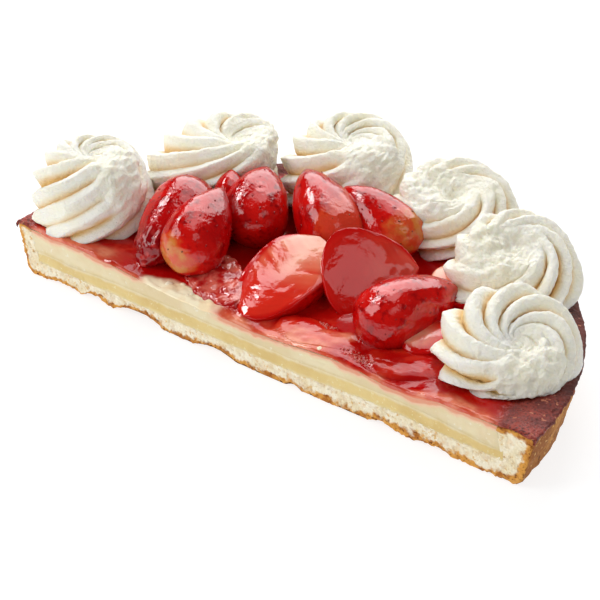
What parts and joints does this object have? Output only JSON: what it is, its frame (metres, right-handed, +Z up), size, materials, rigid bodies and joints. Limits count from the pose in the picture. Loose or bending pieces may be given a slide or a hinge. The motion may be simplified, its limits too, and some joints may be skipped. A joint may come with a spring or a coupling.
{
  "type": "half strawberry tart",
  "caption": "Half of a round shortcrust tart with custard and cream layers, red glaze, halved and sliced strawberries and piped cream rosettes round its rim.",
  "frame": {"origin": "under the middle of the bounding box, on the surface that the tart stands on", "axes": "+X runs along the knife cut, +Y away from the cut face, +Z up"},
  "size_m": [0.259, 0.1295, 0.0558],
  "materials": {
    "shortcrust": "baked shortcrust: pale porous crumb where cut, golden brown and craggy outside",
    "custard": "set vanilla custard, smooth and faintly moist",
    "cream_filling": "firm pale cream, cut smooth",
    "fruit_glaze": "glossy clear red fruit glaze",
    "strawberry": "cooked strawberry under glossy glaze",
    "whipped_cream": "piped whipped cream, satin, slightly grainy"
  },
  "bodies": {
    "root": {"crust": "shortcrust", "custard": "custard", "cream_filling": "cream_filling", "glaze": "fruit_glaze", "strawberry_1": "strawberry", "strawberry_2": "strawberry", "strawberry_3": "strawberry", "strawberry_4": "strawberry", "strawberry_5": "strawberry", "strawberry_6": "strawberry", "strawberry_7": "strawberry", "strawberry_8": "strawberry", "strawberry_9": "strawberry", "strawberry_10": "strawberry", "strawberry_11": "strawberry", "strawberry_12": "strawberry", "strawberry_13": "strawberry", "strawberry_14": "strawberry", "rosette_1": "whipped_cream", "rosette_2": "whipped_cream", "rosette_3": "whipped_cream", "rosette_4": "whipped_cream", "rosette_5": "whipped_cream", "rosette_6": "whipped_cream"}
  },
  "joints": []
}
